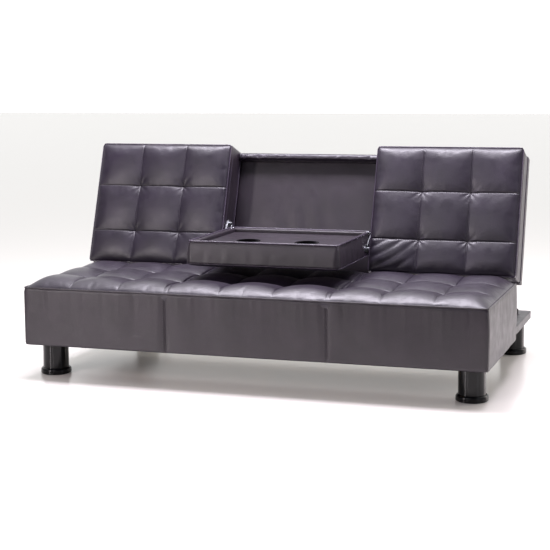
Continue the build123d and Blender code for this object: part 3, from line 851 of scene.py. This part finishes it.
# ---------------------------------------------------------------- tray
# The folding middle of the back: a shallow wrapped box with a welt round its top edge, two
# cups let into its panel, and the tufted pad, which faces down while the tray is open.

tray_low, tray_high = (np.array(corner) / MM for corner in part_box("tray_end_boards"))
panel_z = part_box("tray_top_panel")[1][2] / MM
pad_z = 434        # the seam between the box and its pad


def tray_band():
    """The wrapped box: a section that climbs the outside, turns over the rim through a half
    circle and drops inside to the panel, carried round a rectangle with round corners.  The
    outside widens downwards by 15 mm at the front and half of that at the sides, but not beside
    the pivots, and its foot is creased."""
    corner = 9
    half_x = tray_high[0]
    mid_y, half_y = (tray_high[1] + tray_low[1]) / 2, (tray_high[1] - tray_low[1]) / 2
    runs = []
    for x, y, start in ((1, 1, 0), (-1, 1, 90), (-1, -1, 180), (1, -1, 270)):
        turn = np.radians(start + np.linspace(0, 90, 6))
        runs.append(np.stack([x * (half_x - corner) + corner * np.cos(turn),
                              y * (half_y - corner) + corner * np.sin(turn)], -1))
    loop = evenly(np.column_stack([np.concatenate(runs), np.zeros(24)]), 6, True)[:, :2]
    core = np.clip(loop, (-half_x + corner, -half_y + corner), (half_x - corner, half_y - corner))
    out = loop - core
    out /= np.linalg.norm(out, axis=1, keepdims=True)
    low, top, inner = pad_z + 4, tray_high[2], panel_z - 1
    rise = np.linspace(low, top - 6, 22)
    over = np.radians(np.linspace(0, 180, 9))
    rim_half = 11.5
    heights = np.concatenate([rise, top - 6 + 6 * np.sin(over[1:-1]), np.linspace(top - 6, inner, 6)])
    inward = np.concatenate([np.zeros(22), rim_half * (1 - np.cos(over[1:-1])), np.full(6, 2 * rim_half)])
    way = np.concatenate([np.linspace(0, 1, 22), np.ones(13)])
    spread = 1 - np.clip((loop[:, 1] + mid_y + 70) / 120, 0, 1)
    along = np.arange(len(loop)) * 6.0
    belly = 15 * (1 - way) ** 0.8 * np.clip(way / 0.08 + 0.45, 0, 1)
    creases = (0.6 * np.sin(along / 31) + 0.5 * np.sin(along / 11 + 2) + 0.3 * np.sin(along / 6.1))
    spread *= 1 - 0.5 * np.abs(out[:, 0])
    bulge = (belly[None, :] * spread[:, None] + 1.6 * np.sin(np.pi * way)[None, :]
             + creases[:, None] * (np.sin(np.pi * way) * np.exp(-3 * way))[None, :] * 2)
    spots = np.empty((len(loop), way.size, 3))
    spots[..., :2] = loop[:, None, :] + out[:, None, :] * (bulge - inward[None, :])[..., None]
    spots[..., 1] += mid_y
    spots[..., 2] = heights[None, :]
    grid = np.arange(spots.size // 3).reshape(len(loop), way.size)
    ring = np.concatenate([grid, grid[:1]], axis=0)
    quads = np.stack([ring[:-1, :-1], ring[1:, :-1], ring[1:, 1:], ring[:-1, 1:]], -1)
    return spots.reshape(-1, 3) * MM, quads.reshape(-1, 4), loop + (0, mid_y), out


band_points, band_faces, tray_plan, tray_out = tray_band()
tray_cover = mesh_piece("tray_band", band_points, band_faces)
thicken(tray_cover, 1.2)
finish_piece(tray_cover, "tray", "leatherette", flat_leather, "tray_end_boards", "tray_side_boards")

tray_axes = np.array([[1.0, 0, 0], [0, -1, 0], [0, 0, -1]])
tray_origin = np.array([0, tray_high[1], 0])
pad_half = tray_high[0] + 4
pad_end = tray_high[1] - tray_low[1] + 8
pad_columns = [-pad_half, -105, 105, pad_half]
pad_rows = [0, pad_end / 3, 2 * pad_end / 3, pad_end]


def pad_surface(a, b):
    """The pad's face: it swells 5 mm inside its rim, and each panel is a dome 5 mm high."""
    out = np.minimum(pad_half - np.abs(a), np.minimum(b, pad_end - b))
    drawn = pinches(a, b, pad_columns[1:-1], pad_rows[1:-1], 4, 24)
    return -pad_z + 5 * edge_rise(out, 40) + 5 * dome(a, pad_columns) * dome(b, pad_rows) - drawn


pad_sewn = Sewn((-pad_half, 0, -pad_z - 16), (pad_half, pad_end, -pad_z), pad_columns, pad_rows,
                tray_axes, tray_origin)
pad_grooves = [(0, x, 2.4) for x in pad_columns[1:-1]] + [(1, y, 2.4) for y in pad_rows[1:-1]]
tray_pad = sewn_block("tray_pad", pad_sewn, pad_surface, pad_grooves, radius=6, step=8,
                      cap=4, pressure=4, seam_fade=14)
finish_piece(tray_pad, "tray", "covered_foam", soft_leather, "tray_cushion")

# Four domed steel rivets hold the rim over the hinge arms.
rivet_heights = np.array([-1.2, -1.0, 0.2, 1.7, 2.7, 3.2])
rivet_radii = np.array([4.0, 4.0, 4.0, 3.4, 2.0, 1.0])
rivets = []
for x in (10 - tray_high[0], tray_high[0] - 10):
    for y in (tray_high[1] - 12, tray_high[1] - 34):
        axis = np.column_stack([np.full(6, x), np.full(6, y), tray_high[2] + rivet_heights])
        rivets.append(tube(axis * MM, rivet_radii * MM, 16))
tray_rivets = mesh_piece("tray_rivets", *join_parts(rivets))

tray_welts = []
for height, inset, radius in ((tray_high[2] - 0.2, 2.0, 3.4), (pad_z + 3.5, -7.0, 2.2)):
    loop = np.column_stack([tray_plan - tray_out * inset, np.full(len(tray_plan), height)])
    tray_welts.append(tube(evenly(loop * MM, 0.008, True), radius * MM, closed=True))
for side in (-1, 1):
    for shift, forward, radius in ((0, 2.2, 2.2), (7, -0.4, 1.4)):
        x = side * (tray_high[0] - 2.2 - shift)
        front = [(x * MM, (tray_low[1] + forward) * MM, z * MM)
                 for z in np.arange(tray_low[2], tray_high[2] - 2, 6)]
        tray_welts.append(tube(front, radius * MM))
# The tray's welts take the lightened welt leatherette, a painted highlight.
finish_piece(mesh_piece("tray_welts", *join_parts(tray_welts)), "tray", "leatherette", welt_leather_painted_highlight)


# ---------------------------------------------------------------- carried parts
# The boards, steel, plastic and felt keep their own shapes and get their real finishes.

def pine(name, ring_mm):
    """Sawn pine: growth rings ring_mm apart run along the boards as slightly wavy lines, over
    pale yellow wood with a rough saw-cut surface."""
    material, tree = new_material(name)
    coords = add_node(tree, "TexCoord")
    stretch = add_node(tree, "Mapping", {"Scale": (0.12, 1.0, 1.0)},
                       [("Vector", coords, "Object")])
    rings = add_node(tree, "TexWave", {"Scale": 1000 / ring_mm / 6.28, "Distortion": 5.0,
                                                 "Detail": 3.0, "bands_direction": "DIAGONAL"},
                     [("Vector", stretch, "Vector")])
    wood = [(0.1, "#9c7f5b"), (0.6, "#a98c66"), (0.95, "#b0946f")]
    colour = add_node(tree, "ValToRGB", {"stops": wood}, [("Fac", rings, "Fac")])
    fibre = add_node(tree, "TexNoise", {"Scale": 420.0, "Detail": 3.0},
                     [("Vector", stretch, "Vector")])
    bump = add_node(tree, "Bump", {"Strength": 0.35, "Distance": 0.0006},
                    [("Height", fibre, "Fac")])
    return finished(material, {"Roughness": 0.68, "IOR": 1.5},
                    [("Base Color", colour, "Color"), ("Normal", bump, "Normal")])


def steel(name, light, dark, polish, brush_mm):
    """Zinc-plated mild steel: bright grey with spangled patches and fine rolling lines."""
    material, tree = new_material(name)
    coords = add_node(tree, "TexCoord")
    spangle = add_node(tree, "TexVoronoi", {"Scale": 160.0}, [("Vector", coords, "Object")])
    tint = add_node(tree, "SeparateColor", None, [("Color", spangle, "Color")])
    colour = add_node(tree, "ValToRGB", {"stops": [(0.0, dark), (1.0, light)]}, [("Fac", tint, "Red")])
    stretch = add_node(tree, "Mapping", {"Scale": (1.0, 0.06, 1.0)},
                       [("Vector", coords, "Object")])
    lines = add_node(tree, "TexNoise", {"Scale": 1000 / brush_mm, "Detail": 2.0},
                     [("Vector", stretch, "Vector")])
    rough = add_node(tree, "MapRange", {"To Min": polish, "To Max": polish + 0.18},
                     [("Value", lines, "Fac")])
    bump = add_node(tree, "Bump", {"Strength": 0.15, "Distance": 0.0001},
                    [("Height", lines, "Fac")])
    return finished(material, {"Metallic": 1.0},
                    [("Base Color", colour, "Color"), ("Roughness", rough, "Result"),
                     ("Normal", bump, "Normal")])


def gloss_black(name, colour_hex, roughness, ripple, coat):
    """Black gloss: a hard shiny skin with a faint orange-peel ripple and light scuffs."""
    material, tree = new_material(name)
    coords = add_node(tree, "TexCoord")
    peel = add_node(tree, "TexNoise", {"Scale": 260.0, "Detail": 1.0},
                    [("Vector", coords, "Object")])
    scuff = add_node(tree, "TexNoise", {"Scale": 55.0, "Detail": 6.0, "Roughness": 0.7},
                     [("Vector", coords, "Object")])
    rough = add_node(tree, "MapRange", {"From Min": 0.45, "From Max": 0.75,
                                                  "To Min": roughness, "To Max": roughness + 0.16},
                     [("Value", scuff, "Fac")])
    bump = add_node(tree, "Bump", {"Strength": ripple, "Distance": 0.0001},
                    [("Height", peel, "Fac")])
    return finished(material, {"Base Color": linear(colour_hex), "Specular IOR Level": 0.22,
                               "Coat Weight": coat, "Coat Roughness": 0.05},
                    [("Roughness", rough, "Result"), ("Normal", bump, "Normal")])


def felt(name, dark, light, fibre_mm):
    """Needled felt: matted fibres, matte, mottled dark grey."""
    material, tree = new_material(name)
    coords = add_node(tree, "TexCoord")
    fibres = add_node(tree, "TexNoise", {"Scale": 1000 / fibre_mm, "Detail": 6.0,
                                                   "Distortion": 2.0}, [("Vector", coords, "Object")])
    colour = add_node(tree, "ValToRGB", {"stops": [(0.3, dark), (0.7, light)]}, [("Fac", fibres, "Fac")])
    bump = add_node(tree, "Bump", {"Strength": 0.6, "Distance": 0.0005},
                    [("Height", fibres, "Fac")])
    return finished(material, {"Roughness": 0.95, "Sheen Weight": 0.3},
                    [("Base Color", colour, "Color"), ("Normal", bump, "Normal")])


finishes = {
    "leatherette": flat_leather,
    "covered_foam": soft_leather,
    "timber": pine("sawn_pine", 4.0),
    "zinc_steel": steel("zinc_plated_steel", "#c9cbce", "#9a9da1", 0.28, 0.8),
    "black_steel": gloss_black("black_enamelled_steel", "#040406", 0.05, 0.05, 0.15),
    "black_plastic": gloss_black("black_moulded_abs", "#0a0a0c", 0.16, 0.12, 0.0),
    "felt": felt("needled_felt", "#141416", "#2b2b2e", 1.5),
    "rubber": felt("moulded_rubber", "#101010", "#1c1c1c", 2.5),
}
node_slots = {part["node"]: part["material_slot"] for part in frame["record"]["subparts"]}
finish_piece(tray_rivets, "tray", "zinc_steel", finishes["zinc_steel"])
for node_name, carried in frame["nodes"].items():
    carried.data.materials.clear()
    carried.data.materials.append(finishes[node_slots[node_name]])


# ---------------------------------------------------------------- studio
# A plain pale floor and soft air light, brightest from behind.  A long light hangs overhead, a
# weak one stands high in front, one behind to the right, and three narrow strips in front draw
# streaks on the gloss.

floor_mesh = bpy.data.meshes.new("studio_floor")
floor_mesh.from_pydata([(-30, -30, 0), (30, -30, 0), (30, 30, 0), (-30, 30, 0)], [], [(0, 1, 2, 3)])
floor = bpy.data.objects.new("studio_floor", floor_mesh)
bpy.context.scene.collection.objects.link(floor)
floor_material, _ = new_material("pale_floor")
finished(floor_material, {"Base Color": linear("#efebe5"), "Roughness": 0.2})
floor_mesh.materials.append(floor_material)

bpy.context.scene.view_settings.view_transform = "Standard"
world = bpy.data.worlds.new("studio_air")
bpy.context.scene.world = world
world.use_nodes = True
air = world.node_tree
way = add_node(air, "TexCoord")
toward = add_node(air, "VectorMath", {"operation": "DOT_PRODUCT", 1: (0.0, 0.8, 0.6)},
                  [("Vector", way, "Generated")])
share = add_node(air, "MapRange", {"From Min": -1.0, "From Max": 1.0},
                 [("Value", toward, "Value")])
greys = [(0.1, "#23252e"), (0.5, "#56555f"), (0.82, "#ffffff")]
backdrop = add_node(air, "ValToRGB", {"stops": greys}, [("Fac", share, "Result")])
air.links.new(backdrop.outputs["Color"], air.nodes["Background"].inputs["Color"])
air.nodes["Background"].inputs["Strength"].default_value = 1.15


def soft_light(name, spot, target, size, power, colour):
    """An oblong area light at a spot, facing a target, with its size, its watts and its colour."""
    data = bpy.data.lights.new(name, "AREA")
    data.shape = "RECTANGLE"
    data.size, data.size_y = size
    data.energy = power
    data.color = linear(colour)[:3]
    light = bpy.data.objects.new(name, data)
    bpy.context.scene.collection.objects.link(light)
    light.location = spot
    light.visible_camera = False
    light.rotation_euler = (Vector(target) - Vector(spot)).to_track_quat("-Z", "Y").to_euler()
    return light


soft_light("overhead", (0.1, -0.05, 2.6), (0.1, 0, 0.4), (2.8, 0.6), 165, "#f8f2ff")
soft_light("high_front", (-0.5, -4.3, 2.7), (0.1, 0.1, 0.6), (2.6, 0.8), 24, "#f8f2ff")
soft_light("right_side", (3.2, 2.2, 1.3), (0.8, 0, 0.4), (1.2, 2.2), 34, "#fff1ea")
soft_light("left_strip", (-2.0, -3.1, 1.2), (-0.5, 0, 0.3), (0.16, 2.0), 42, "#fff5f8")
soft_light("front_strip", (-0.8, -3.9, 1.2), (-0.8, 0, 0.3), (0.06, 2.0), 9, "#fff5f8")
soft_light("right_strip", (2.9, -1.7, 1.2), (0.4, 0, 0.3), (0.06, 2.0), 5, "#f4f6ff")

lens_px = 1399.6
picture_px = 550
yaw, pitch, roll = (math.radians(angle) for angle in (18.56, 6.71, -0.46))
look = Vector((-math.sin(yaw) * math.cos(pitch), math.cos(yaw) * math.cos(pitch), -math.sin(pitch)))
level = Vector((math.cos(yaw), math.sin(yaw), 0))
above = level.cross(look)
right = math.cos(roll) * level + math.sin(roll) * above
top = math.cos(roll) * above - math.sin(roll) * level
camera_data = bpy.data.cameras.new("studio_camera")
camera = bpy.data.objects.new("studio_camera", camera_data)
bpy.context.scene.collection.objects.link(camera)
turned = Matrix((right, top, -look)).transposed().to_4x4()
camera.matrix_world = Matrix.Translation((1.7342, -5.2872, 1.1792)) @ turned
camera_data.sensor_width = 36
camera_data.lens = 36 * lens_px / picture_px
camera_data.shift_x = -0.0091
camera_data.shift_y = -0.0760
camera_data.dof.use_dof = False
camera_data.clip_end = 100
bpy.context.scene.camera = camera
